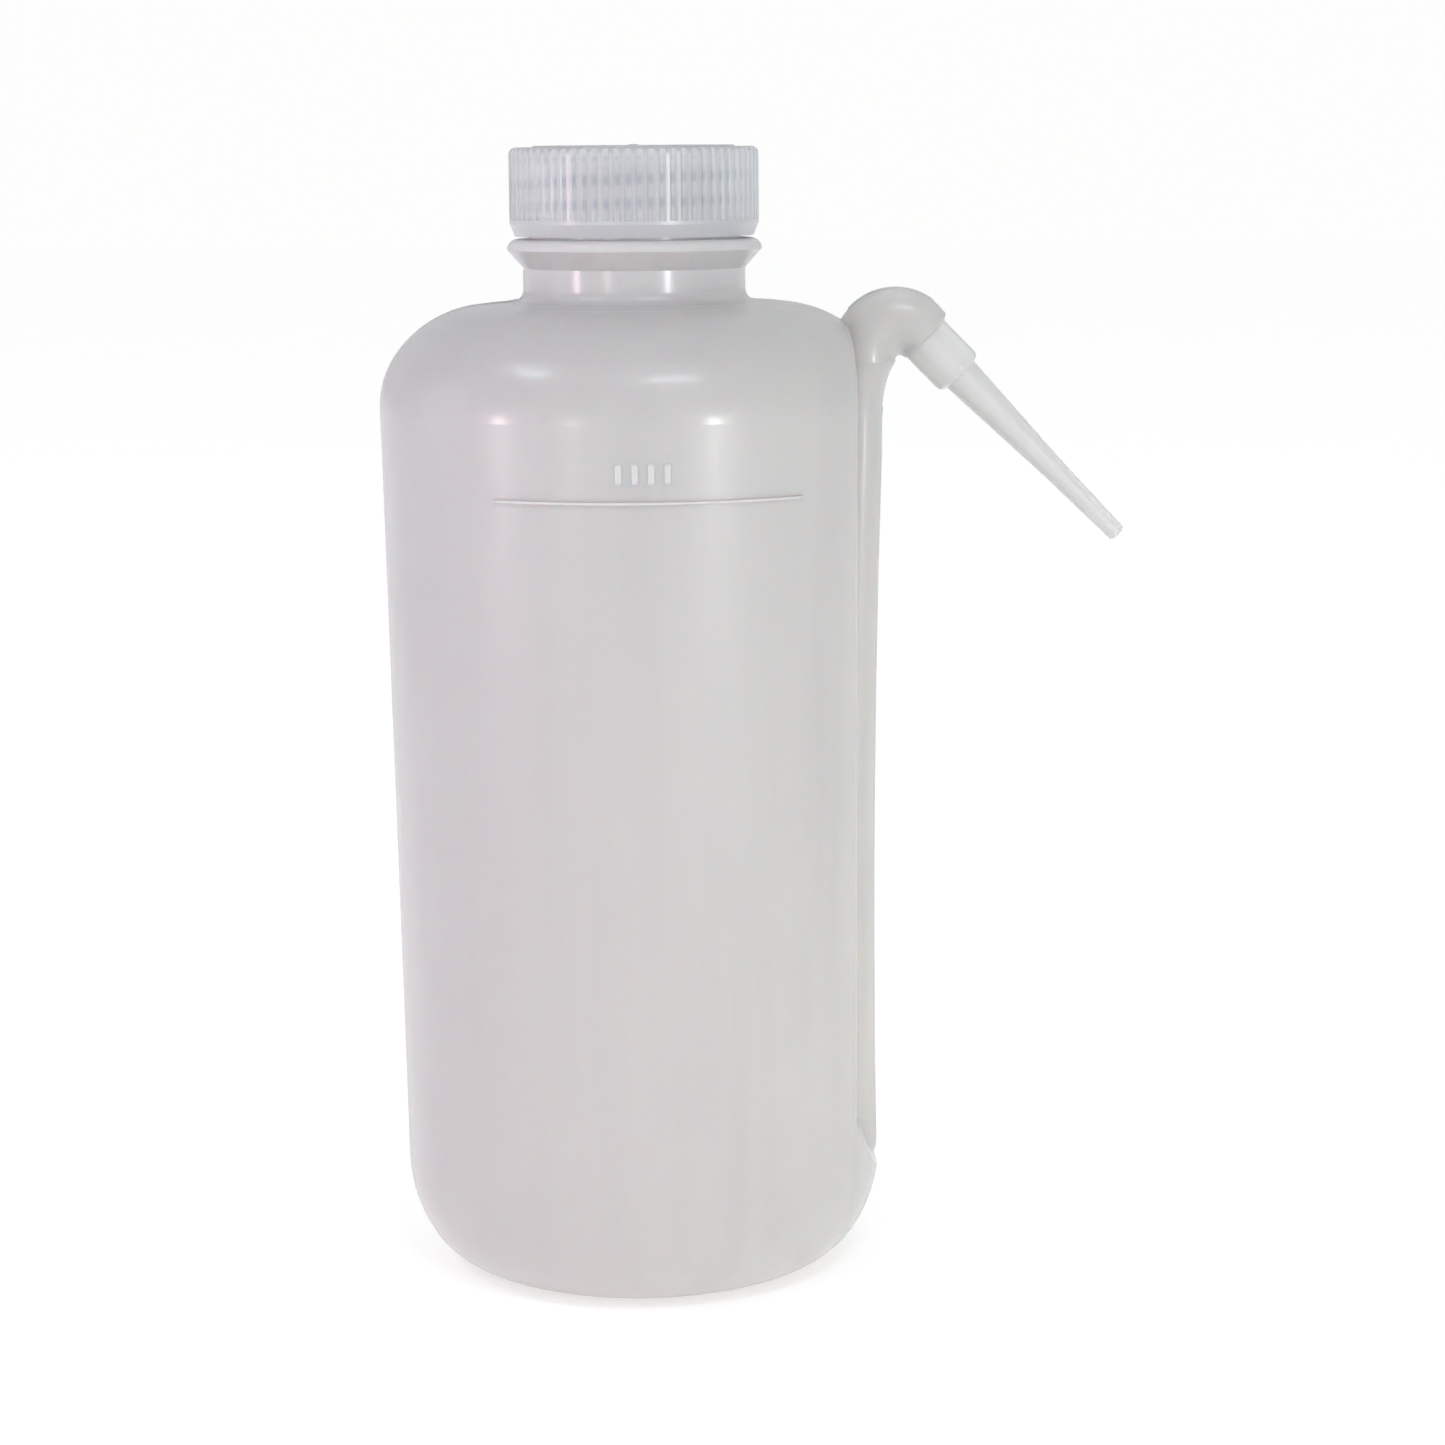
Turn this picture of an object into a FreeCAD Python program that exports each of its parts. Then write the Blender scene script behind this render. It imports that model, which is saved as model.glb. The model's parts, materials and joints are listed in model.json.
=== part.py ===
"""Squeeze wash bottle with a moulded-in side tube: blow-moulded bottle, push-in nozzle, screw closure and liner.

Frame: +Z up, origin at the centre of the base, the side tube and the nozzle towards +X. Millimetres.
The bottle is one hollow moulding: a slightly tapered round chamber, a flat on its +X side with the dispensing
tube standing on it as a rib, and an elbow that carries the tube over the shoulder to the nozzle.
"""

import FreeCAD
import Part

import math
import os
import re

import Sketcher
from FreeCAD import Placement, Rotation, Vector

DOC = FreeCAD.newDocument("wash_bottle")
SHEET = DOC.addObject("Spreadsheet::Sheet", "sizes")

SIZES = {
    # chamber
    "low_radius": 37.4, "low_height": 17.1, "high_radius": 39.45, "high_height": 134.9, "wall": 1.25,
    "ring_inner": 20.5, "ring_outer": 23.9, "push_up": 3.2, "base_round": 12.0,
    "shoulder_round": 14.5, "shoulder_radius": 22.0, "shoulder_height": 150.85,
    # neck, bead and finish
    "neck_radius": 17.0, "neck_inner": 15.7, "root_round": 1.7, "root_height": 151.2, "bead_foot": 156.2,
    "bead_radius": 19.55, "bead_height": 159.05, "bead_nose": 1.7, "bead_top": 160.7, "bead_top_radius": 17.95,
    "finish_radius": 16.1, "bore_radius": 14.6, "bore_height": 159.6, "lip_height": 172.0, "lip_round": 0.35,
    # screw thread of the neck and of the closure
    "pitch": 3.6, "thread_start": 163.4, "thread_turns": 1.75, "thread_depth": 1.05, "thread_root": 1.7,
    "thread_crest": 0.7, "thread_bite": 0.25,
    # graduation line
    "mark_height": 123.7, "mark_width": 0.8, "mark_relief": 0.35, "mark_angle": 70.0, "mark_middle": -87.0,
    # flat under the side tube
    "flat_offset": 32.9, "flat_foot": 24.5, "flat_slope": 2.5, "flat_round": 3.0,
    # side tube
    "tube_foot": 17.5, "tube_offset": 33.05, "tube_radius": 3.7, "tube_bow": 1.15, "tube_middle": 55.0,
    "dip_middle": 12.5, "dip_middle_offset": 32.5, "dip_foot": 7.5, "dip_offset": 30.7, "channel_drop": 1.0,
    "riser_height": 127.0, "channel_radius": 2.35,
    # elbow
    "pivot_x": 40.6, "pivot_z": 141.6, "bend_x": 40.0, "bend_z": 143.2, "bend_radius": 9.65,
    "crook_start": 0.45, "crook_end": 0.95, "elbow_squash": 0.6, "elbow_bore": 3.1,
    "lip_run": 0.45, "lip_radius": 4.2, "nozzle_reach": 5.27, "socket_radius": 3.35, "socket_depth": 5.0,
    # nozzle
    "nozzle_drop": 45.4, "spigot_radius": 3.3, "spigot_length": 4.8, "hub_radius": 4.05, "hub_length": 7.7,
    "hub_round": 1.0, "cone_radius": 2.92, "cone_middle": 28.5, "cone_middle_radius": 1.8, "tip_radius": 1.4,
    "tip_round": 0.45, "nozzle_length": 43.0, "nozzle_bore": 1.9, "bore_middle_radius": 1.0,
    "jet_radius": 0.6, "jet_length": 4.0,
    # closure and its liner
    "cap_radius": 19.1, "cap_foot": 161.1, "cap_top": 174.5, "cap_plate": 1.45, "cap_bore": 17.5,
    "cap_round": 1.1, "foot_chamfer": 0.8, "foot_chamfer_height": 1.9, "rib_foot": 163.6, "rib_count": 70,
    "rib_groove": 0.62, "rib_depth": 0.42, "cap_thread_depth": 0.95, "cap_thread_root": 1.5,
    "cap_thread_crest": 0.6, "cap_thread_turns": 1.6, "cap_thread_rise": 0.7,
    "liner_radius": 16.6, "liner_thickness": 1.0,
    # how far a cutting tool reaches past the skin it opens
    "tool_spare": 2.0,
}

DERIVED = {
    # second arc of the two-arc rounding at the base and at the shoulder, and where the two arcs meet
    "base_wide": "low_radius - ring_outer",
    "base_side": "(base_wide^2 + low_height^2 - 2 * low_height * base_round) / (2 * (base_wide - base_round))",
    "base_x": "low_radius - base_side",
    "base_slope_x": "(ring_outer - base_x) / (base_side - base_round)",
    "base_slope_z": "(base_round - low_height) / (base_side - base_round)",
    "crown_wide": "high_radius - shoulder_radius",
    "crown_high": "shoulder_height - high_height",
    "crown": "(crown_wide^2 + crown_high^2 - 2 * crown_wide * shoulder_round)"
             " / (2 * (crown_high - shoulder_round))",
    "crown_z": "shoulder_height - crown",
    "crown_slope_x": "(high_radius - shoulder_round - shoulder_radius) / (crown - shoulder_round)",
    "crown_slope_z": "(high_height - crown_z) / (crown - shoulder_round)",
    "dome": "(ring_inner^2 + push_up^2) / (2 * push_up)",
    # how far down the ramp at the flat's foot moves for each millimetre the wall is thick
    "ramp_drop": "sqrt(1 + flat_slope^2)",
    # turn of the tube's path from straight up to the nozzle, and the pivot seen from the bend's centre
    "tilt": "90 + nozzle_drop",
    "pivot_dx": "pivot_x - bend_x",
    "pivot_dz": "pivot_z - bend_z",
}

# how a sketch constraint names the origin, the axes and the points of an edge
SKETCH_ORIGIN = -1
AXIS_X, AXIS_Y = -1, -2
START, END, CENTRE = 1, 2, 3

# sections of the side tube in its riser, its swell and its bend, and how late the swell widens
RISER_STEPS = 5
SWELL_STEPS = 4
SWELL_POWER = 4
FAN_STEPS = 5

SAME_PLACE = 0.01


def fill_sheet():
    rows = [(alias, str(value)) for alias, value in SIZES.items()]
    rows += [(alias, "=" + formula) for alias, formula in DERIVED.items()]
    for row, (alias, content) in enumerate(rows, start=1):
        SHEET.set(f"A{row}", alias)
        SHEET.set(f"B{row}", content)
        SHEET.setAlias(f"B{row}", alias)
    DOC.recompute()


def value_of(expression):
    """The number an expression over the sheet's aliases gives."""
    return float(SHEET.evalExpression(expression))


def linked(expression):
    """The expression with each alias written as a reference to the sheet."""
    names = SIZES.keys() | DERIVED.keys()
    return re.sub(r"[a-z_]+", lambda word: f"sizes.{word[0]}" if word[0] in names else word[0], expression)


def bind(thing, **expressions):
    """Binds properties to the sheet; a double underscore stands for the dot of a nested property."""
    for name, expression in expressions.items():
        thing.setExpression(name.replace("__", "."), linked(expression))


def origin_feature(body, role):
    return next(feature for feature in body.Origin.OriginFeatures if feature.Role == role)


def new_sketch(body, name, role):
    sketch = body.newObject("Sketcher::SketchObject", name)
    sketch.AttachmentSupport = (origin_feature(body, role), [""])
    sketch.MapMode = "FlatFace"
    return sketch


def arc_between(start, end, radius, leftwards):
    """The arc from start to end that turns left, or right, and spans less than half a circle."""
    first, last = (start, end) if leftwards else (end, start)
    chord = last - first
    rise = math.sqrt(max(radius**2 - chord.Length**2 / 4, 0.0))
    centre = (first + last) * 0.5 + Vector(-chord.y, chord.x, 0).normalize() * rise
    begin = math.atan2(first.y - centre.y, first.x - centre.x)
    finish = math.atan2(last.y - centre.y, last.x - centre.x)
    circle = Part.Circle(centre, Vector(0, 0, 1), radius)
    return Part.ArcOfCircle(circle, begin, finish if finish > begin else finish + 2 * math.pi)


def fix_point(sketch, index, position, point, across, up):
    """Ties one end of an edge to the two expressions of its coordinates."""
    for kind, number, expression, axis in (
        ("DistanceX", point.x, across, AXIS_Y),
        ("DistanceY", point.y, up, AXIS_X),
    ):
        if expression == "0":
            sketch.addConstraint(Sketcher.Constraint("PointOnObject", index, position, axis))
            continue
        rule = Sketcher.Constraint(kind, SKETCH_ORIGIN, START, index, position, number)
        sketch.setExpression(f"Constraints[{sketch.addConstraint(rule)}]", linked(expression))


def outline(sketch, corners):
    """Draws a closed outline, counter-clockwise.

    Each corner is (across, up) or (across, up, radius, turn): the last two make the edge that leaves the
    corner an arc that turns "left" or "right".
    """
    points = [Vector(value_of(corner[0]), value_of(corner[1]), 0) for corner in corners]
    starts = []
    for i, corner in enumerate(corners):
        start, end = points[i], points[(i + 1) % len(points)]
        if len(corner) == 2:
            sketch.addGeometry(Part.LineSegment(start, end), False)
            starts.append(START)
        else:
            leftwards = corner[3] == "left"
            sketch.addGeometry(arc_between(start, end, value_of(corner[2]), leftwards), False)
            starts.append(START if leftwards else END)
    for i, corner in enumerate(corners):
        after = (i + 1) % len(corners)
        finish = END if starts[i] == START else START
        sketch.addConstraint(Sketcher.Constraint("Coincident", i, finish, after, starts[after]))
    for i, corner in enumerate(corners):
        fix_point(sketch, i, starts[i], points[i], corner[0], corner[1])
    for i, corner in enumerate(corners):
        if len(corner) > 2:
            index = sketch.addConstraint(Sketcher.Constraint("Radius", i, value_of(corner[2])))
            sketch.setExpression(f"Constraints[{index}]", linked(corner[2]))


def revolve(body, name, corners):
    sketch = new_sketch(body, name + "_section", "XZ_Plane")
    outline(sketch, corners)
    turned = body.newObject("PartDesign::Revolution", name)
    turned.Profile = sketch
    turned.ReferenceAxis = (sketch, ["V_Axis"])
    turned.Angle = 360.0
    DOC.recompute()
    return turned


def cut_across(body, name, corners):
    """Cuts the outline, drawn in the XZ plane, right through the body along Y."""
    sketch = new_sketch(body, name + "_section", "XZ_Plane")
    outline(sketch, corners)
    pocket = body.newObject("PartDesign::Pocket", name)
    pocket.Profile = sketch
    pocket.Type = "ThroughAll"
    pocket.Midplane = True
    DOC.recompute()
    return pocket


def add_thread(body, name, corners, turns):
    sketch = new_sketch(body, name + "_section", "XZ_Plane")
    outline(sketch, corners)
    helix = body.newObject("PartDesign::AdditiveHelix", name)
    helix.Profile = sketch
    helix.ReferenceAxis = (sketch, ["V_Axis"])
    helix.Mode = "pitch-turns-angle"
    bind(helix, Pitch="pitch", Turns=turns)
    DOC.recompute()
    return helix


def round_edges(body, base, name, radius, wanted):
    """Rounds the edges of base that the test picks."""
    names = [f"Edge{i}" for i, edge in enumerate(base.Shape.Edges, start=1) if wanted(edge)]
    fillet = body.newObject("PartDesign::Fillet", name)
    fillet.Base = (base, names)
    bind(fillet, Radius=radius)
    DOC.recompute()
    return fillet


def chamber_corners(inset):
    """Half-section of the chamber up to the shoulder, moved inwards from the skin by the inset."""
    return [
        ("0", f"push_up + {inset}", f"dome + {inset}", "right"),
        (f"sqrt((dome + {inset})^2 - (dome - push_up + {inset})^2)", f"{inset}"),
        ("ring_outer", f"{inset}", f"base_round - {inset}", "left"),
        (
            f"base_x + (base_side - {inset}) * base_slope_x",
            f"low_height + (base_side - {inset}) * base_slope_z",
            f"base_side - {inset}",
            "left",
        ),
        (f"low_radius - {inset}", "low_height"),
        (f"high_radius - {inset}", "high_height", f"shoulder_round - {inset}", "left"),
        (
            f"shoulder_radius + (crown - {inset}) * crown_slope_x",
            f"crown_z + (crown - {inset}) * crown_slope_z",
            f"crown - {inset}",
            "left",
        ),
        ("shoulder_radius", f"shoulder_height - {inset}"),
    ]


def flat_corners(inset):
    """Side view of what the flat takes away: upright face, and a steep ramp at its foot."""
    reach = "high_radius + tool_spare"
    return [
        (f"flat_offset - {inset}", f"flat_foot - {inset} * (ramp_drop - flat_slope)"),
        (reach, f"flat_foot - ({reach} - flat_offset) * flat_slope - {inset} * ramp_drop"),
        (reach, "bead_foot"),
        (f"flat_offset - {inset}", "bead_foot"),
    ]


def in_flat(inset):
    """A test for the edges that bound the flat's upright face."""
    plane = value_of(f"flat_offset - {inset}")

    def test(edge):
        box = edge.BoundBox
        return abs(box.XMin - plane) < SAME_PLACE and abs(box.XMax - plane) < SAME_PLACE

    return test


def make_skin():
    """Solid outside of chamber, neck, bead and finish, with the neck thread and the graduation line."""
    body = DOC.addObject("PartDesign::Body", "skin")
    neck = [
        ("neck_radius + root_round", "root_height", "root_round", "right"),
        ("neck_radius", "root_height + root_round"),
        ("neck_radius", "bead_foot"),
        ("bead_radius", "bead_height", "bead_nose", "left"),
        ("bead_top_radius", "bead_top"),
        ("finish_radius", "bead_top"),
        ("finish_radius", "lip_height - lip_round", "lip_round", "left"),
        ("finish_radius - lip_round", "lip_height"),
        ("0", "lip_height"),
    ]
    revolve(body, "skin_turned", chamber_corners("0") + neck)
    flat = cut_across(body, "skin_flat", flat_corners("0"))
    round_edges(body, flat, "skin_flat_round", "flat_round", in_flat("0"))
    add_thread(
        body,
        "neck_thread",
        [
            ("finish_radius - thread_bite", "thread_start - thread_root / 2"),
            ("finish_radius", "thread_start - thread_root / 2"),
            ("finish_radius + thread_depth", "thread_start - thread_crest / 2"),
            ("finish_radius + thread_depth", "thread_start + thread_crest / 2"),
            ("finish_radius", "thread_start + thread_root / 2"),
            ("finish_radius - thread_bite", "thread_start + thread_root / 2"),
        ],
        "thread_turns",
    )
    return body


def make_cavity():
    """The room inside the chamber and the neck."""
    body = DOC.addObject("PartDesign::Body", "cavity")
    neck = [
        ("neck_radius + root_round", "root_height - wall", "neck_radius + root_round - neck_inner", "right"),
        ("neck_inner", "root_height - wall + neck_radius + root_round - neck_inner"),
        ("neck_inner", "bead_foot"),
        ("bore_radius", "bore_height"),
        ("bore_radius", "lip_height + tool_spare"),
        ("0", "lip_height + tool_spare"),
    ]
    revolve(body, "cavity_turned", chamber_corners("wall") + neck)
    cut_across(body, "cavity_flat", flat_corners("wall"))
    return body


def make_mark():
    """Graduation line: a low band round the front of the chamber."""
    body = DOC.addObject("PartDesign::Body", "mark")
    slope = "((high_radius - low_radius) / (high_height - low_height))"
    skin = f"low_radius + (mark_height - low_height) * {slope}"
    band = revolve(
        body,
        "mark_band",
        [
            (f"{skin} - wall / 2", "mark_height - mark_width / 2"),
            (f"{skin} + mark_relief", "mark_height - mark_width / 2 + mark_relief / 2"),
            (f"{skin} + mark_relief", "mark_height + mark_width / 2 - mark_relief / 2"),
            (f"{skin} - wall / 2", "mark_height + mark_width / 2"),
        ],
    )
    band.Midplane = True
    bind(band, Angle="mark_angle")
    body.Placement = Placement(Vector(0, 0, 0), Rotation(Vector(0, 0, 1), value_of("mark_middle")))
    bind(body, Placement__Rotation__Angle="mark_middle")
    DOC.recompute()
    return body


def tube_ring(name, across, up, along, sideways, turn="0"):
    """One section of the side tube: an ellipse square to the tube's path."""
    ring = DOC.addObject("Part::Ellipse", name)
    ring.Placement = Placement(Vector(0, 0, 0), Rotation(Vector(0, 1, 0), 1.0))
    bind(
        ring,
        MajorRadius=along,
        MinorRadius=sideways,
        Placement__Base__x=across,
        Placement__Base__z=up,
        Placement__Rotation__Angle=turn,
    )
    return ring


def fan_reach(step):
    """Turn of an elbow section, and how far its far and near walls stand from the pivot."""
    turn = f"({step} / {FAN_STEPS} * tilt)"
    lean = f"(pivot_dz * sin{turn} - pivot_dx * cos{turn})"
    far = f"(sqrt({lean}^2 - pivot_dx^2 - pivot_dz^2 + bend_radius^2) - {lean})"
    near = f"(crook_start + (crook_end - crook_start) * {step} / {FAN_STEPS})"
    return turn, far, near


def riser_rings(name, radius):
    """Evenly spaced sections of the straight run, whose path bows slightly."""
    rings = []
    for step in range(RISER_STEPS + 1):
        height = f"(tube_foot + (riser_height - tube_foot) * {step} / {RISER_STEPS})"
        bow = f"tube_bow * (({height} - tube_middle) / (riser_height - tube_middle))^2"
        rings.append(tube_ring(f"{name}_ring_{step}", f"tube_offset + {bow}", height, radius, radius))
    return rings


def fan_rings(name, fan_size):
    """Sections round the bend; fan_size gives their two half-sizes from the room between the walls."""
    rings = []
    for step in range(FAN_STEPS + 1):
        turn, far, near = fan_reach(step)
        middle = f"(({far} + {near}) / 2)"
        along, sideways = fan_size(step, f"(({far} - {near}) / 2)")
        across = f"pivot_x - {middle} * cos{turn}"
        up = f"pivot_z + {middle} * sin{turn}"
        rings.append(tube_ring(f"{name}_fan_{step}", across, up, along, sideways, turn))
    return rings


def loft(name, rings):
    solid = DOC.addObject("Part::Loft", name)
    solid.Sections = rings
    solid.Solid = True
    return solid


def swell_rings(name, radius, end_radius):
    """Sections between the riser and the bend, where the tube widens faster and faster."""
    _, far, near = fan_reach(0)
    rings = []
    for step in range(1, SWELL_STEPS):
        share = f"({step} / {SWELL_STEPS})"
        start = "(tube_offset + tube_bow)"
        across = f"{start} + (pivot_x - ({far} + {near}) / 2 - {start}) * {share}^{SWELL_POWER}"
        up = f"riser_height + (pivot_z - riser_height) * {share}"
        grown = f"{radius} + ({end_radius} - {radius}) * {share}^{SWELL_POWER}"
        rings.append(tube_ring(f"{name}_swell_{step}", across, up, grown, grown))
    return rings


def tube_run(name, radius, fan_size, drop="0"):
    """Dip, riser, swell and bend as lofts that share the rings between them; the dip ends lower by the drop."""
    riser = riser_rings(name, radius)
    dip = [
        tube_ring(f"{name}_dip_foot", "dip_offset", f"dip_foot - {drop}", radius, radius),
        tube_ring(f"{name}_dip_middle", "dip_middle_offset", "dip_middle", radius, radius),
        riser[0],
    ]
    bend = fan_rings(name, fan_size)
    _, far, near = fan_reach(0)
    end_radius, _ = fan_size(0, f"(({far} - {near}) / 2)")
    swell = [riser[-1], *swell_rings(name, radius, end_radius), bend[0]]
    runs = {"dip": dip, "riser": riser, "swell": swell, "bend": bend}
    return [loft(f"{name}_{run}", rings) for run, rings in runs.items()], bend[-1]


def make_tube():
    """Outside of the side tube, with the lip that narrows from the bend's last section to the mouth."""

    def outside(step, half):
        return half, f"{half} - elbow_squash * sin(180 * {step} / {FAN_STEPS})"

    runs, last_ring = tube_run("tube", "tube_radius", outside)
    lip_ring = tube_ring("tube_lip_ring", *mouth_centre(), "lip_radius", "lip_radius", "tilt")
    return [*runs, loft("tube_lip", [last_ring, lip_ring])]


def make_channel():
    """Bore of the side tube, from the foot of the chamber to the elbow's mouth."""

    def bore(step, half):
        return "elbow_bore", "elbow_bore"

    runs, _ = tube_run("channel", "channel_radius", bore, "channel_drop")
    return runs


def mouth_centre():
    """Centre of the elbow's mouth, where the nozzle's hub is seated."""
    across = "pivot_x - nozzle_reach * cos(tilt) + lip_run * sin(tilt)"
    up = "pivot_z + nozzle_reach * sin(tilt) + lip_run * cos(tilt)"
    return across, up


def stand_at_mouth(thing):
    """Places a part with its +Z along the nozzle's axis and its origin in the middle of the elbow's mouth."""
    across, up = mouth_centre()
    tilt = Rotation(Vector(0, 1, 0), value_of("tilt"))
    thing.Placement = Placement(Vector(value_of(across), 0, value_of(up)), tilt)
    bind(thing, Placement__Base__x=across, Placement__Base__z=up, Placement__Rotation__Angle="tilt")


def make_socket():
    """The straight bore in the elbow's mouth that grips the nozzle's spigot."""
    body = DOC.addObject("PartDesign::Body", "socket")
    corners = [
        ("0", "-socket_depth"),
        ("socket_radius", "-socket_depth"),
        ("socket_radius", "tool_spare"),
        ("0", "tool_spare"),
    ]
    revolve(body, "socket_bore", corners)
    stand_at_mouth(body)
    DOC.recompute()
    return body


def make_bottle():
    """Hollow shell, side tube and graduation line as one moulding, then the tube's bore and the socket."""
    shell = DOC.addObject("Part::Cut", "shell")
    shell.Base = make_skin()
    shell.Tool = make_cavity()
    moulding = DOC.addObject("Part::MultiFuse", "moulding")
    moulding.Shapes = [shell, *make_tube(), make_mark()]
    drillings = DOC.addObject("Part::MultiFuse", "drillings")
    drillings.Shapes = [*make_channel(), make_socket()]
    bottle = DOC.addObject("Part::Cut", "bottle_body")
    bottle.Base = moulding
    bottle.Tool = drillings
    DOC.recompute()
    return bottle


def make_nozzle():
    """Push-in nozzle: spigot, hub and a long hollow cone with a fine jet."""
    body = DOC.addObject("PartDesign::Body", "dispensing_nozzle")
    revolve(
        body,
        "nozzle_turned",
        [
            ("nozzle_bore", "-spigot_length"),
            ("spigot_radius", "-spigot_length"),
            ("spigot_radius", "0"),
            ("hub_radius", "0"),
            ("hub_radius", "hub_length - hub_round", "hub_round", "left"),
            ("hub_radius - hub_round", "hub_length"),
            ("cone_radius", "hub_length"),
            ("cone_middle_radius", "cone_middle"),
            ("tip_radius", "nozzle_length - tip_round", "tip_round", "left"),
            ("tip_radius - tip_round", "nozzle_length"),
            ("jet_radius", "nozzle_length"),
            ("jet_radius", "nozzle_length - jet_length"),
            ("bore_middle_radius", "cone_middle"),
            ("nozzle_bore", "hub_length"),
        ],
    )
    stand_at_mouth(body)
    DOC.recompute()
    return body


def cut_ribs(body):
    """Leaves fine upright ribs on the skirt by cutting a ring of round-bottomed grooves between them."""
    sketch = new_sketch(body, "groove_section", "XY_Plane")
    sketch.AttachmentOffset.Base.z = value_of("rib_foot")
    bind(sketch, AttachmentOffset__Base__z="rib_foot")
    centre = "cap_radius - rib_depth + rib_groove"
    circle = Part.Circle(Vector(value_of(centre), 0, 0), Vector(0, 0, 1), value_of("rib_groove"))
    sketch.addGeometry(circle, False)
    sketch.addConstraint(Sketcher.Constraint("Radius", 0, value_of("rib_groove")))
    sketch.setExpression("Constraints[0]", linked("rib_groove"))
    fix_point(sketch, 0, CENTRE, Vector(value_of(centre), 0, 0), centre, "0")
    groove = body.newObject("PartDesign::Pocket", "groove")
    groove.Profile = sketch
    groove.Type = "ThroughAll"
    groove.Reversed = True
    DOC.recompute()
    ring = body.newObject("PartDesign::PolarPattern", "grooves")
    ring.Originals = [groove]
    ring.Axis = (origin_feature(body, "Z_Axis"), [""])
    ring.Angle = 360.0
    bind(ring, Occurrences="rib_count")
    body.Tip = ring
    DOC.recompute()


def make_closure():
    """Ribbed screw cap: skirt, top plate and a thread inside that runs between the turns of the neck's."""
    body = DOC.addObject("PartDesign::Body", "screw_closure")
    revolve(
        body,
        "closure_turned",
        [
            ("cap_bore", "cap_foot"),
            ("cap_radius - foot_chamfer", "cap_foot"),
            ("cap_radius", "cap_foot + foot_chamfer_height"),
            ("cap_radius", "cap_top - cap_round", "cap_round", "left"),
            ("cap_radius - cap_round", "cap_top"),
            ("0", "cap_top"),
            ("0", "cap_top - cap_plate"),
            ("cap_bore", "cap_top - cap_plate"),
        ],
    )
    cut_ribs(body)
    level = "(thread_start - pitch / 2 + cap_thread_rise)"
    thread = add_thread(
        body,
        "closure_thread",
        [
            ("cap_bore + thread_bite", f"{level} - cap_thread_root / 2"),
            ("cap_bore + thread_bite", f"{level} + cap_thread_root / 2"),
            ("cap_bore", f"{level} + cap_thread_root / 2"),
            ("cap_bore - cap_thread_depth", f"{level} + cap_thread_crest / 2"),
            ("cap_bore - cap_thread_depth", f"{level} - cap_thread_crest / 2"),
            ("cap_bore", f"{level} - cap_thread_root / 2"),
        ],
        "cap_thread_turns",
    )
    body.Tip = thread
    return body


def make_liner():
    """Foam disc between the bottle's lip and the cap's top plate."""
    disc = DOC.addObject("Part::Cylinder", "closure_liner")
    bind(disc, Radius="liner_radius", Height="liner_thickness", Placement__Base__z="lip_height")
    DOC.recompute()
    return disc


def check(parts):
    """Stops before anything is written if an object failed or a part isn't a sound solid."""
    DOC.recompute()
    for thing in DOC.Objects:
        if "Invalid" in thing.State or "Error" in thing.State:
            raise RuntimeError(f"{thing.Label} did not compute: {thing.State}")
    for part in parts:
        if part.Shape.isNull() or not part.Shape.isValid() or not part.Shape.Solids:
            raise RuntimeError(f"{part.Label} is not a sound solid")


def main():
    fill_sheet()
    parts = [make_bottle(), make_nozzle(), make_closure(), make_liner()]
    check(parts)
    os.makedirs("parts", exist_ok=True)
    for part in parts:
        part.Shape.exportStep(f"parts/{part.Label}.step")


main()
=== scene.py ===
"""Looks of the squeeze wash bottle: milky polyethylene, a ribbed polypropylene closure and a clearer nozzle.

Every CAD node is shown as it is, with a procedural material. Fine moulding detail rides on the nodes: the fill
line and its row of raised pads, the parting line, ticks under the base, and the rings and gate mark on top of
the closure.
"""

import json
import math

import bmesh
import bpy
from mathutils import Matrix, Vector
from mathutils.bvhtree import BVHTree


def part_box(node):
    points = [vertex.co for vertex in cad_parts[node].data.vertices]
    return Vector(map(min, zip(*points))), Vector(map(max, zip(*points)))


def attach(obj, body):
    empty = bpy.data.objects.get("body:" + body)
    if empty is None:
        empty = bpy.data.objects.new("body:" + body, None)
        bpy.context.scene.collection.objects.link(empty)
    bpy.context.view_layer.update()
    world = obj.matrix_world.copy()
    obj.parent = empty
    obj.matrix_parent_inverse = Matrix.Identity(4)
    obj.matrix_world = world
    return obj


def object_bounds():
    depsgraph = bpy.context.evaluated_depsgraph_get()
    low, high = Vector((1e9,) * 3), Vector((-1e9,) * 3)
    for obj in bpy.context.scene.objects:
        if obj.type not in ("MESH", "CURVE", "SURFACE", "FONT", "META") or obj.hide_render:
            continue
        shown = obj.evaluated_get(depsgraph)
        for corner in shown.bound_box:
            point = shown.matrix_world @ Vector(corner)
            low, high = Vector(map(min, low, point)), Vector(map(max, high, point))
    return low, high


MM = 0.001
UP = Vector((0, 0, 1))
NO_STRETCH = (1.0, 1.0, 1.0)

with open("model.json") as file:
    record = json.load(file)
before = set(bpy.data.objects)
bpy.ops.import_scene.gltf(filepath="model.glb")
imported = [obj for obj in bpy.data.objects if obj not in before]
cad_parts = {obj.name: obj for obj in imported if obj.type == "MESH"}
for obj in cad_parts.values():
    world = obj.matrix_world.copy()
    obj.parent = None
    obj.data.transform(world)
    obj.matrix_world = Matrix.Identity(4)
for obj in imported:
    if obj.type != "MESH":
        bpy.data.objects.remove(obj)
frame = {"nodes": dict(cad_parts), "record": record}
cad_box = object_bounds()
NODES = frame["nodes"]

# fill line of the bottle: height, and the stretch of azimuth it covers, seen from above with +X at 0
LINE_HEIGHT = 123.7 * MM
LINE_MIDDLE, LINE_SPAN = math.radians(-87), math.radians(69)

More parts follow.
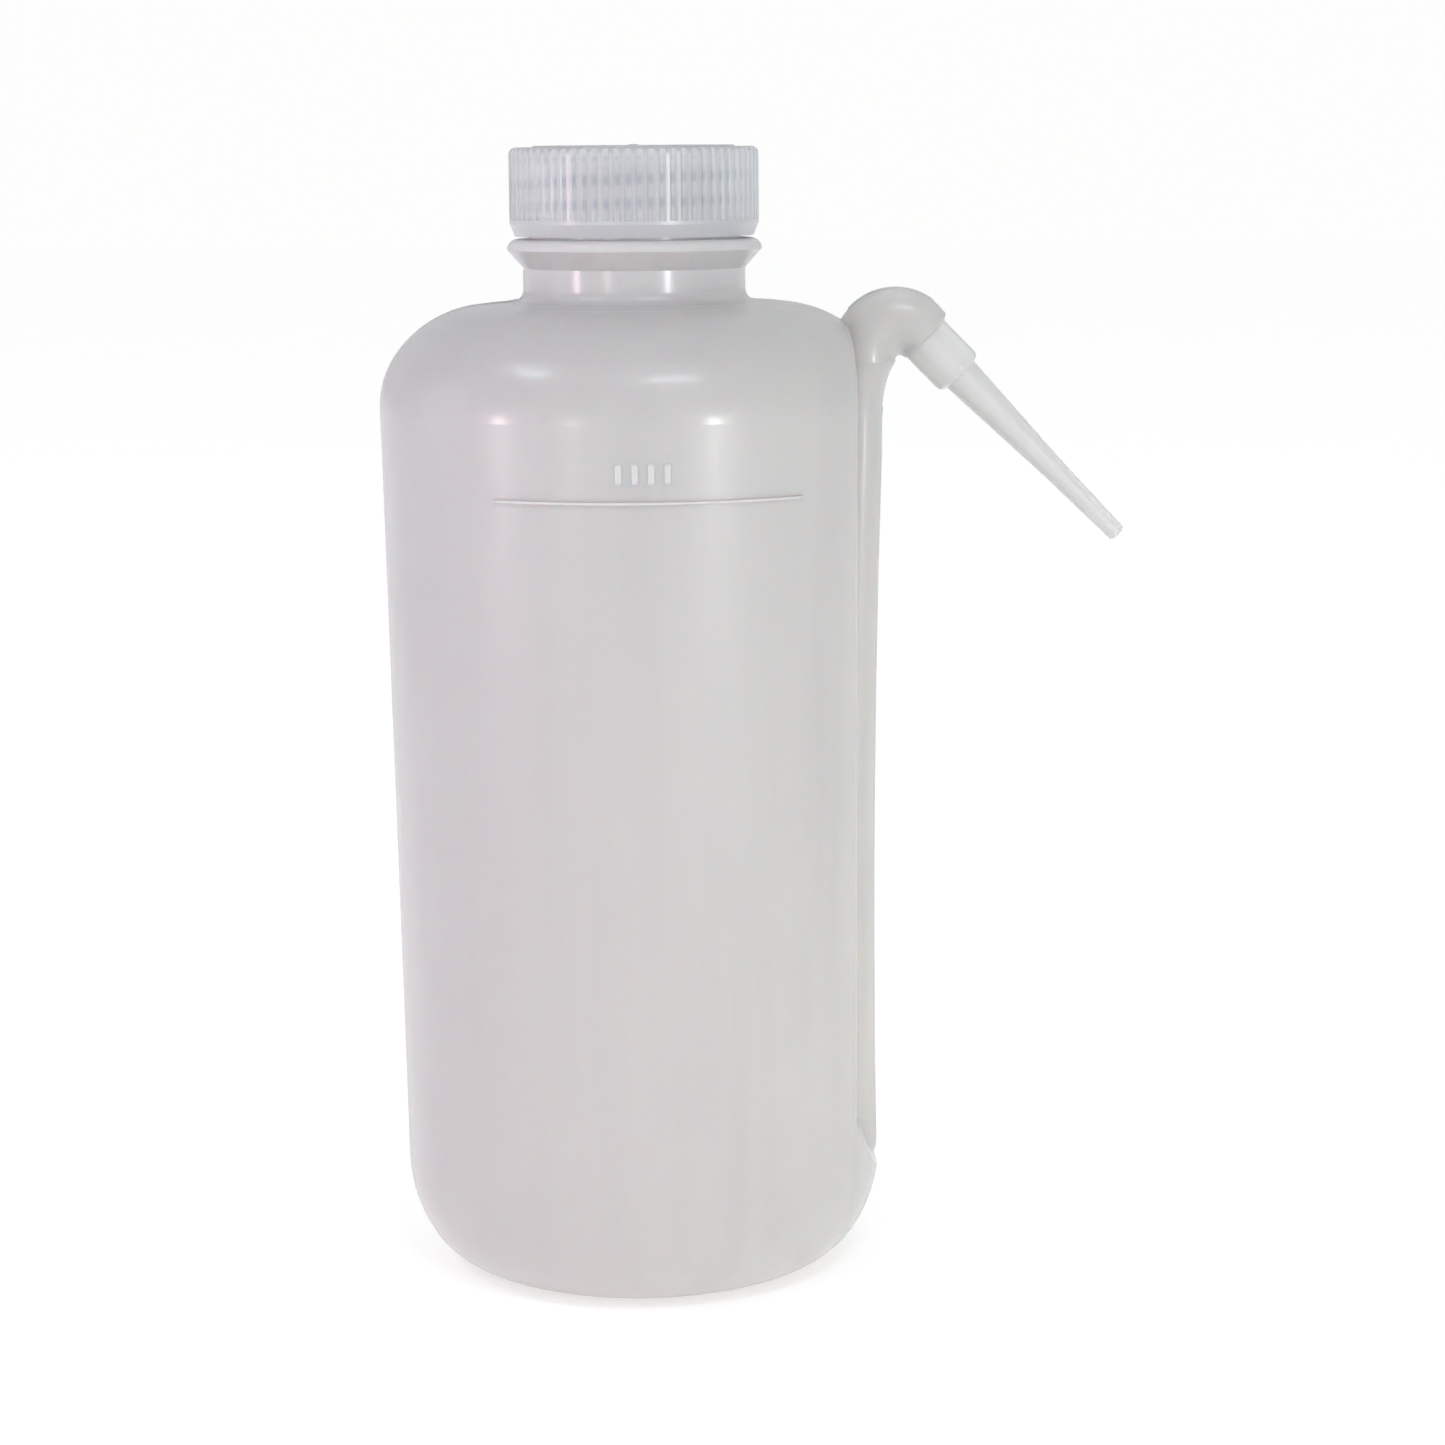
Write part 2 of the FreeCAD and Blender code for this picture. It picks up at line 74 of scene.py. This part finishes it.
# row of pads above the fill line: how many, how far apart, and where the first one stands from the line's middle
PAD_COUNT, PAD_PITCH = 4, 2.4 * MM
PAD_START = math.radians(-7)
PAD_GAP, PAD_HEIGHT, PAD_WIDTH = 2.7 * MM, 3.0 * MM, 1.2 * MM

# parting line: stretches of height up the back and up the tube, and the steps from the shoulder up the neck
SEAM_WIDTH, SEAM_RELIEF, SEAM_STEP = 0.42 * MM, 0.13 * MM, 1.5 * MM
BACK_LOW, BACK_HIGH = 3.0 * MM, 134.0 * MM
TUBE_LOW, TUBE_HIGH = 16.0 * MM, 136.0 * MM
NECK_HEIGHTS = tuple(height * MM for height in (151.5, 152.0, 152.8, 154.4, 155.9))

# points that the seam's rays aim at, inside the back of the shoulder and inside the elbow
SHOULDER_CENTRE = Vector((-20 * MM, 0, 130 * MM))
ELBOW_CENTRE = Vector((40 * MM, 0, 143.2 * MM))

# ticks under the base, between two radii
TICK_COUNT, TICK_INNER, TICK_OUTER = 48, 16.0 * MM, 19.2 * MM

# upright ribs round the closure's skirt, and the plain bands below and above them
RIB_COUNT = 70
PLAIN_FOOT, PLAIN_TOP = 2.4 * MM, 1.2 * MM

# rings on top of the closure: radius, width and relief; then the gate mark's half-sizes
TOP_RINGS = ((15.2 * MM, 0.7 * MM, 0.22 * MM), (4.2 * MM, 0.5 * MM, 0.16 * MM))
GATE_MARK = (1.2 * MM, 1.2 * MM, 0.4 * MM)

# camera: focal length, place, and how it is turned
LENS = 86.03
CAMERA_PLACE = (0.0, -0.5348, 0.1734)
CAMERA_DOWN, CAMERA_RIGHT, CAMERA_ROLL = math.radians(9.36), math.radians(1.39), math.radians(0.41)


# ---------------------------------------------------------------- materials


class Shader:
    """A Principled material and short ways to feed its sockets from procedural nodes."""

    def __init__(self, name, **plain):
        self.material = bpy.data.materials.new(name)
        self.material.use_nodes = True
        self.nodes = self.material.node_tree.nodes
        self.links = self.material.node_tree.links
        self.surface = self.nodes["Principled BSDF"]
        for socket, value in plain.items():
            self.surface.inputs[socket.replace("_", " ")].default_value = value
        self.place = self.nodes.new("ShaderNodeTexCoord").outputs["Object"]

    def noise(self, scale, detail=4.0, roughness=0.55, stretch=NO_STRETCH):
        """Cloudy noise, 0 to 1, with that many lumps a metre; a factor below 1 lengthens them along its axis."""
        mapping = self.nodes.new("ShaderNodeMapping")
        mapping.inputs["Scale"].default_value = stretch
        self.links.new(self.place, mapping.inputs["Vector"])
        texture = self.nodes.new("ShaderNodeTexNoise")
        texture.inputs["Scale"].default_value = scale
        texture.inputs["Detail"].default_value = detail
        texture.inputs["Roughness"].default_value = roughness
        self.links.new(mapping.outputs["Vector"], texture.inputs["Vector"])
        return texture.outputs["Fac"]

    def coordinates(self):
        split = self.nodes.new("ShaderNodeSeparateXYZ")
        self.links.new(self.place, split.inputs["Vector"])
        return split.outputs

    def share_along(self, axis, start, end):
        """0 at the start coordinate and 1 at the end one, which may lie below it."""
        return self.share(self.coordinates()[axis], start, end)

    def arithmetic(self, operation, *values):
        """The result of a maths node on outputs or plain numbers."""
        node = self.nodes.new("ShaderNodeMath")
        node.operation = operation
        for socket, value in zip(node.inputs, values):
            if isinstance(value, (int, float)):
                socket.default_value = value
            else:
                self.links.new(value, socket)
        return node.outputs["Value"]

    def product(self, first, second):
        return self.arithmetic("MULTIPLY", first, second)

    def azimuth(self):
        place = self.coordinates()
        return self.arithmetic("ARCTAN2", place["Y"], place["X"])

    def helix(self, pitch, phase):
        """Wave from -1 to 1 whose crests wind up round Z as a right-hand thread; the phase is in turns."""
        climb = self.product(self.coordinates()["Z"], math.tau / pitch)
        turned = self.arithmetic("SUBTRACT", climb, self.azimuth())
        return self.arithmetic("SINE", self.arithmetic("ADD", turned, phase * math.tau))

    def grooves(self, count):
        """Wave from -1 to 1 with that many crests round Z, one of them at +X."""
        return self.arithmetic("COSINE", self.product(self.azimuth(), count))

    def spread(self, value, low, high, to_low, to_high):
        """Maps a range of an output onto another range, and holds it at the ends."""
        ramp = self.nodes.new("ShaderNodeMapRange")
        ramp.inputs["From Min"].default_value = low
        ramp.inputs["From Max"].default_value = high
        ramp.inputs["To Min"].default_value = to_low
        ramp.inputs["To Max"].default_value = to_high
        self.links.new(value, ramp.inputs["Value"])
        return ramp.outputs["Result"]

    def share(self, value, low, high):
        return self.spread(value, low, high, 0.0, 1.0)

    def blend(self, share, first, second):
        """Mixes two colours, each a plain colour or another node's output."""
        mix = self.nodes.new("ShaderNodeMix")
        mix.data_type = "RGBA"
        self.links.new(share, mix.inputs["Factor"])
        for socket, colour in (("A", first), ("B", second)):
            slot = next(i for i in mix.inputs if i.name == socket and i.type == "RGBA")
            if isinstance(colour, tuple):
                slot.default_value = (*colour, 1.0)
            else:
                self.links.new(colour, slot)
        return next(o for o in mix.outputs if o.type == "RGBA")

    def feed(self, socket, source):
        self.links.new(source, self.surface.inputs[socket])

    def bumps(self, *layers):
        """Adds bump layers; each is (height output, depth in metres)."""
        normal = None
        for height, depth in layers:
            bump = self.nodes.new("ShaderNodeBump")
            bump.inputs["Distance"].default_value = depth
            self.links.new(height, bump.inputs["Height"])
            if normal is not None:
                self.links.new(normal, bump.inputs["Normal"])
            normal = bump.outputs["Normal"]
        self.feed("Normal", normal)


def milky_polyethylene():
    """Blow-moulded wall: waxy and cloudy, with faint upright die streaks, and painted light and shade in its
    colour: darker at the top, lilac on the left, lighter and warmer low on the tube's side.
    """
    shader = Shader(
        "milky_polyethylene",
        IOR=1.45,
        Transmission_Weight=0.5,
        Subsurface_Weight=0.35,
        Subsurface_Scale=0.003,
        Coat_Weight=0.5,
        Coat_Roughness=0.2,
    )
    low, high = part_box("bottle_body")
    rise = shader.share_along("Z", low.z, high.z)
    # painted light and shade: the colour is darker towards the top, lilac-tinted on the left, and lighter and
    # warmer low on the tube's side
    across = shader.share_along("X", low.x, -low.x)
    base = shader.blend(across, (0.76, 0.71, 0.73), (0.98, 0.94, 0.89))
    shaded_crown = shader.blend(across, (0.69, 0.68, 0.71), (0.81, 0.81, 0.785))
    neck = shader.share_along("Z", 150.0 * MM, 157.0 * MM)
    plain = shader.blend(neck, shader.blend(rise, base, shaded_crown), (0.97, 0.955, 0.965))
    cloud = shader.spread(shader.noise(45.0, 5.0), 0.3, 0.7, 0.0, 0.5)
    tone = shader.blend(cloud, plain, (0.80, 0.785, 0.785))
    streaks = shader.noise(160.0, 3.0, 0.5, (1.0, 1.0, 0.08))
    faint = shader.spread(streaks, 0.45, 0.8, 0.0, 0.35)
    shader.feed("Base Color", shader.blend(faint, tone, (0.70, 0.69, 0.70)))
    shader.feed("Roughness", shader.spread(streaks, 0.3, 0.7, 0.33, 0.42))
    shader.bumps(
        (shader.noise(28.0, 2.0, 0.4, (1.0, 1.0, 0.35)), 0.0002),
        (shader.noise(900.0, 3.0, 0.6), 0.00002),
    )
    return shader.material


def raised_mark_polyethylene():
    """The bottle's plastic where it stands proud as a mark: less see-through, and lightly rubbed."""
    shader = Shader("raised_mark_polyethylene", IOR=1.45, Transmission_Weight=0.15)
    rub = shader.share(shader.noise(350.0, 4.0), 0.35, 0.65)
    shader.feed("Base Color", shader.blend(rub, (0.71, 0.70, 0.695), (0.66, 0.655, 0.65)))
    shader.feed("Roughness", shader.spread(rub, 0.0, 1.0, 0.3, 0.45))
    shader.bumps((rub, 0.00002))
    return shader.material


def closure_polypropylene():
    """Injection-moulded closure: cooler and clearer, with painted shade: bluish dashes where the thread inside
    would show through its ribs.
    """
    shader = Shader(
        "closure_polypropylene",
        IOR=1.49,
        Transmission_Weight=0.72,
        Coat_Weight=0.2,
        Coat_Roughness=0.22,
    )
    low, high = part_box("screw_closure")
    pitch = abs(frame["record"]["behaviour"]["couplings"][0]["ratio"]) * math.tau
    phase = -0.15
    fade = 0.6 * MM
    grain = shader.share(shader.noise(60.0, 4.0), 0.3, 0.7)
    clear = shader.blend(grain, (0.94, 0.955, 0.98), (0.97, 0.98, 1.0))
    foot, top = low.z + PLAIN_FOOT, high.z - PLAIN_TOP
    skirt = shader.product(
        shader.share_along("Z", foot, foot + fade),
        shader.share_along("Z", top, top - fade),
    )
    # painted shade: bluish dashes along the thread's turns, broken up by the ribs, stand in for the inner thread
    # seen through the skirt
    turns = shader.share(shader.helix(pitch, phase), -0.35, 0.9)
    dashes = shader.spread(shader.grooves(RIB_COUNT), -0.3, 0.9, 0.1, 1.0)
    thread = shader.product(skirt, shader.product(turns, dashes))
    shader.feed("Base Color", shader.blend(thread, clear, (0.72, 0.765, 0.84)))
    shader.feed("Roughness", shader.spread(shader.noise(220.0, 3.0), 0.3, 0.7, 0.29, 0.34))
    shader.bumps((shader.noise(700.0, 3.0), 0.00002))
    return shader.material


def nozzle_polyethylene():
    """Plastic of the nozzle: more neutral in colour, smoother and glossier than the bottle's."""
    shader = Shader(
        "nozzle_polyethylene",
        IOR=1.47,
        Transmission_Weight=0.5,
        Coat_Weight=0.4,
        Coat_Roughness=0.12,
    )
    grain = shader.share(shader.noise(90.0, 4.0), 0.3, 0.7)
    shader.feed("Base Color", shader.blend(grain, (0.88, 0.885, 0.87), (0.92, 0.92, 0.905)))
    shader.feed("Roughness", shader.spread(shader.noise(260.0, 3.0), 0.3, 0.7, 0.32, 0.38))
    shader.bumps((shader.noise(400.0, 2.0), 0.00001))
    return shader.material


def foam_liner():
    """Fine-celled foam of the seal disc."""
    shader = Shader("foam_liner", Roughness=0.7)
    cells = shader.noise(1500.0, 4.0, 0.7)
    shader.feed("Base Color", shader.blend(cells, (0.86, 0.86, 0.85), (0.93, 0.93, 0.92)))
    shader.bumps((cells, 0.00008))
    return shader.material


def pale_floor():
    """White sweep that glows a little, so that it meets the white surroundings without a line."""
    shader = Shader("pale_floor", Roughness=0.7, Specular_IOR_Level=0.0, Emission_Strength=0.44)
    shader.surface.inputs["Emission Color"].default_value = (0.99, 0.99, 0.985, 1.0)
    dust = shader.noise(14.0, 3.0)
    shader.feed("Base Color", shader.blend(dust, (0.78, 0.78, 0.775), (0.80, 0.80, 0.795)))
    return shader.material


# ---------------------------------------------------------------- pieces


def dress(node, material):
    """Gives a CAD node its material and nothing else."""
    node.data.materials.clear()
    node.data.materials.append(material)


def skin_of(node):
    """A function that finds where a ray first meets the node: (point, outward normal)."""
    mesh = node.data
    tree = BVHTree.FromPolygons([v.co for v in mesh.vertices], [p.vertices for p in mesh.polygons])

    def meet(origin, direction):
        point, normal, _, _ = tree.ray_cast(origin, direction)
        return point, normal if normal.dot(direction) < 0 else -normal

    return meet


def add_piece(name, build, material, body):
    """Turns the built mesh into a smooth piece that moves with the body."""
    bmesh.ops.recalc_face_normals(build, faces=build.faces)
    mesh = bpy.data.meshes.new(name)
    build.to_mesh(mesh)
    build.free()
    for polygon in mesh.polygons:
        polygon.use_smooth = True
    mesh.materials.append(material)
    piece = bpy.data.objects.new(name, mesh)
    bpy.context.scene.collection.objects.link(piece)
    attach(piece, body)


def lay_ridge(build, path, width, relief, closed=False):
    """Adds a low half-round ridge to the mesh along a path of (point, normal) on a skin."""
    sink = relief * 0.6
    profile = [(-0.5, -sink), (-0.3, relief * 0.7), (0.0, relief), (0.3, relief * 0.7), (0.5, -sink)]
    count = len(path)
    rings = []
    for i, (point, normal) in enumerate(path):
        before = path[(i - 1) % count if closed else max(i - 1, 0)][0]
        after = path[(i + 1) % count if closed else min(i + 1, count - 1)][0]
        side = (after - before).cross(normal).normalized()
        rings.append([build.verts.new(point + side * (width * u) + normal * v) for u, v in profile])
    pairs = zip(rings, rings[1:] + rings[:1] if closed else rings[1:])
    around = len(profile)
    for ring, following in pairs:
        for j in range(around):
            k = (j + 1) % around
            build.faces.new((ring[j], ring[k], following[k], following[j]))
    if not closed:
        build.faces.new(rings[0])
        build.faces.new(reversed(rings[-1]))


def around_axis(meet, height, azimuth, reach=0.2):
    """Where the skin is met from outside at that height and azimuth."""
    outward = Vector((math.cos(azimuth), math.sin(azimuth), 0))
    return meet(outward * reach + UP * height, -outward)


def around_point(meet, centre, reach, first, last, steps=30):
    """Where the skin is met from outside, aiming at a point, as the aim turns in the plane of the tube."""
    found = []
    for i in range(steps + 1):
        angle = math.radians(first + (last - first) * i / steps)
        outward = Vector((math.cos(angle), 0, math.sin(angle)))
        found.append(meet(centre + outward * reach, -outward))
    return found


def add_fill_line(meet, material):
    """Low ridge along the graduation line."""
    steps = 90
    azimuths = [LINE_MIDDLE + LINE_SPAN * (i / steps - 0.5) for i in range(steps + 1)]
    path = [around_axis(meet, LINE_HEIGHT, azimuth) for azimuth in azimuths]
    build = bmesh.new()
    lay_ridge(build, path, 0.45 * MM, 0.06 * MM)
    add_piece("fill_line", build, material, "bottle")


def add_line_pads(meet, material):
    """Row of plain raised pads above the fill line, in the place of its legend."""
    steps = 6
    radius = -cad_box[0].x
    low = LINE_HEIGHT + PAD_GAP
    build = bmesh.new()
    for i in range(PAD_COUNT):
        azimuth = LINE_MIDDLE + PAD_START + i * PAD_PITCH / radius
        path = [around_axis(meet, low + PAD_HEIGHT * j / steps, azimuth) for j in range(steps + 1)]
        lay_ridge(build, path, PAD_WIDTH, 0.07 * MM)
    add_piece("line_pads", build, material, "bottle")


def up_wall(meet, low, high, azimuth):
    """Where the skin is met at even steps of height."""
    count = round((high - low) / SEAM_STEP)
    return [around_axis(meet, low + SEAM_STEP * i, azimuth) for i in range(count)]


def add_parting_line(meet, material):
    """Seam of the two mould halves, in the plane of the tube: up the back, up the tube and over the elbow."""
    back = up_wall(meet, BACK_LOW, BACK_HIGH, math.pi)
    back += around_point(meet, SHOULDER_CENTRE, 30 * MM, 168, 92)
    back += [around_axis(meet, height, math.pi) for height in NECK_HEIGHTS]
    tube = up_wall(meet, TUBE_LOW, TUBE_HIGH, 0.0)
    elbow = around_point(meet, ELBOW_CENTRE, 15 * MM, 138, 52)
    build = bmesh.new()
    for path in (back, tube, elbow):
        lay_ridge(build, path, SEAM_WIDTH, SEAM_RELIEF)
    add_piece("parting_line", build, material, "bottle")


def add_base_ticks(meet, material):
    """Short raised ticks round the dome under the base."""
    steps = 4
    radii = [TICK_INNER + (TICK_OUTER - TICK_INNER) * i / steps for i in range(steps + 1)]
    below = UP * (cad_box[0].z - 10 * MM)
    build = bmesh.new()
    for i in range(TICK_COUNT):
        angle = math.tau * i / TICK_COUNT
        outward = Vector((math.cos(angle), math.sin(angle), 0))
        path = [meet(outward * radius + below, UP) for radius in radii]
        lay_ridge(build, path, 0.6 * MM, 0.2 * MM)
    add_piece("base_ticks", build, material, "bottle")


def add_closure_marks(meet, material):
    """Two low rings and the gate mark that the mould leaves on top of the closure."""
    steps = 96
    angles = [math.tau * i / steps for i in range(steps)]
    above = UP * (cad_box[1].z + 10 * MM)
    build = bmesh.new()
    for radius, width, relief in TOP_RINGS:
        places = [Vector((math.cos(angle), math.sin(angle), 0)) * radius for angle in angles]
        lay_ridge(build, [meet(place + above, -UP) for place in places], width, relief, closed=True)
    centre, _ = meet(above, -UP)
    shape = Matrix.Translation(centre) @ Matrix.Diagonal((*GATE_MARK, 1))
    bmesh.ops.create_uvsphere(build, u_segments=32, v_segments=16, radius=1.0, matrix=shape)
    add_piece("closure_marks", build, material, "closure")


# ---------------------------------------------------------------- stage


def add_floor(material):
    """Wide floor just under the base."""
    half = 6.0
    corners = [(-half, -half, 0), (half, -half, 0), (half, half, 0), (-half, half, 0)]
    mesh = bpy.data.meshes.new("floor")
    mesh.from_pydata(corners, [], [(0, 1, 2, 3)])
    mesh.materials.append(material)
    floor = bpy.data.objects.new("floor", mesh)
    floor.location.z = cad_box[0].z - 0.1 * MM
    bpy.context.scene.collection.objects.link(floor)


def add_world(seen, lighting):
    """Surroundings: a white backdrop as seen, and a softer room as it lights and mirrors in the object."""
    world = bpy.data.worlds.new("studio")
    world.use_nodes = True
    nodes, links = world.node_tree.nodes, world.node_tree.links
    path = nodes.new("ShaderNodeLightPath")
    mix = nodes.new("ShaderNodeMixShader")
    links.new(path.outputs["Is Camera Ray"], mix.inputs["Fac"])
    for socket, (colour, strength) in ((1, lighting), (2, seen)):
        background = nodes.new("ShaderNodeBackground")
        background.inputs["Color"].default_value = (*colour, 1.0)
        background.inputs["Strength"].default_value = strength
        links.new(background.outputs["Background"], mix.inputs[socket])
    links.new(mix.outputs["Shader"], nodes["World Output"].inputs["Surface"])
    bpy.context.scene.world = world


def add_lamp(name, azimuth, elevation, width, height, radiance, colour, distance=1.2):
    """Area lamp aimed at the object's middle; azimuth 0 is the front and grows towards the tube's side."""
    target = Vector((0, 0, (cad_box[0].z + cad_box[1].z) / 2))
    turn, lift = math.radians(azimuth), math.radians(elevation)
    outward = Vector((math.sin(turn) * math.cos(lift), -math.cos(turn) * math.cos(lift), math.sin(lift)))
    light = bpy.data.lights.new(name, "AREA")
    light.shape = "RECTANGLE"
    light.size, light.size_y = width, height
    light.energy = radiance * math.pi * width * height
    light.color = colour
    lamp = bpy.data.objects.new(name, light)
    lamp.location = target + outward * distance
    lamp.rotation_euler = outward.to_track_quat("Z", "Y").to_euler()
    bpy.context.scene.collection.objects.link(lamp)


def add_lights():
    """Small lamps that mirror as tall streaks, panels above them, and a dim lilac wall at the left."""
    white, cool, warm = (1.0, 1.0, 1.0), (0.86, 0.93, 1.0), (1.0, 0.92, 0.84)
    pink, lilac = (1.0, 0.74, 0.84), (0.90, 0.84, 1.0)
    add_lamp("lamp_right", 34, 2, 0.06, 0.10, 120.0, white)
    add_lamp("lamp_left", -62, 2, 0.06, 0.10, 95.0, pink)
    add_lamp("lamp_middle", -28, 2, 0.05, 0.10, 40.0, warm)
    add_lamp("panel_right", 19, 50, 0.42, 0.10, 14.0, cool)
    add_lamp("panel_left", -64, 50, 0.30, 0.10, 14.0, cool)
    add_lamp("side_left", -95, 8, 0.5, 0.9, 0.9, lilac)


def add_camera():
    """Camera that stands in front of the bottle and looks slightly down at it."""
    data = bpy.data.cameras.new("camera")
    data.sensor_width = 36.0
    data.lens = LENS
    data.clip_start, data.clip_end = 0.01, 30.0
    camera = bpy.data.objects.new("camera", data)
    aim = Matrix.Rotation(-CAMERA_RIGHT, 4, "Z") @ Matrix.Rotation(math.pi / 2 - CAMERA_DOWN, 4, "X")
    camera.matrix_world = Matrix.Translation(CAMERA_PLACE) @ aim @ Matrix.Rotation(-CAMERA_ROLL, 4, "Z")
    bpy.context.scene.collection.objects.link(camera)
    bpy.context.scene.camera = camera


def main():
    milky, closure = milky_polyethylene(), closure_polypropylene()
    mark = raised_mark_polyethylene()
    dress(NODES["bottle_body"], milky)
    dress(NODES["screw_closure"], closure)
    dress(NODES["dispensing_nozzle"], nozzle_polyethylene())
    dress(NODES["closure_liner"], foam_liner())
    bottle_skin, closure_skin = skin_of(NODES["bottle_body"]), skin_of(NODES["screw_closure"])
    add_fill_line(bottle_skin, mark)
    add_line_pads(bottle_skin, mark)
    add_parting_line(bottle_skin, milky)
    add_base_ticks(bottle_skin, milky)
    add_closure_marks(closure_skin, closure)
    add_floor(pale_floor())
    add_world(((0.985, 0.985, 0.98), 1.0), ((0.98, 0.985, 1.0), 0.7))
    add_lights()
    add_camera()
    bpy.context.scene.view_settings.view_transform = "Standard"


main()
